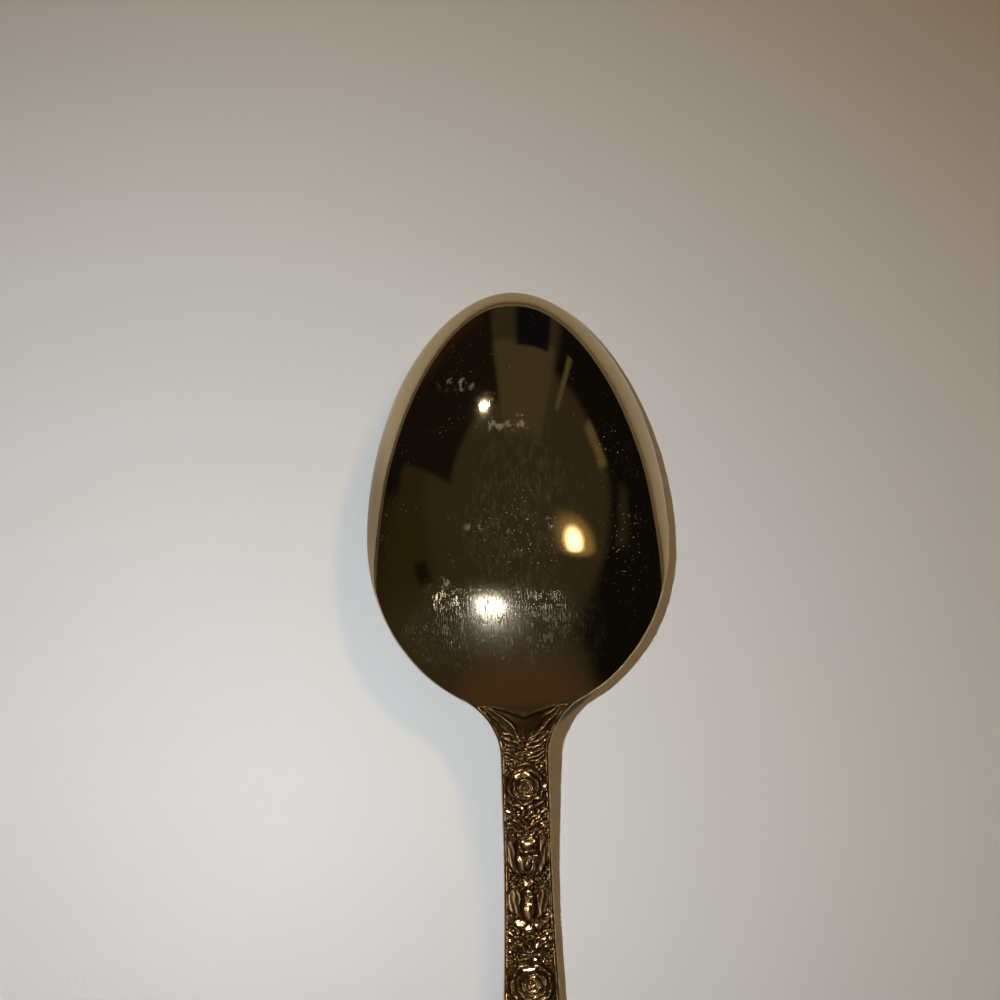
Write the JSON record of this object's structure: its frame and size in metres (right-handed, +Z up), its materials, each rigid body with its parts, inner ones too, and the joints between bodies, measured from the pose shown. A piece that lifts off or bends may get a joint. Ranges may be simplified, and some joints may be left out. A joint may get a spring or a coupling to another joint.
{
  "type": "dinner spoon",
  "caption": "Dinner spoon with a deep egg-shaped bowl and a slim handle pressed with roses and leaves, in polished gold plate, lying bowl down.",
  "frame": {"origin": "on the table, under the middle of the spoon's length and width", "axes": "+Y from the end of the handle to the tip of the bowl, +Z up from the table to the bowl's back, +X to the right seen from above with the tip ahead"},
  "size_m": [0.042, 0.186, 0.011],
  "materials": {
    "polished_gold": "mirror-polished gold plate with fine scratches",
    "antique_gold": "pressed gold plate, bright on the raised ornament and dark in its recesses"
  },
  "bodies": {
    "root": {"bowl": "polished_gold", "handle": "antique_gold"}
  },
  "joints": []
}
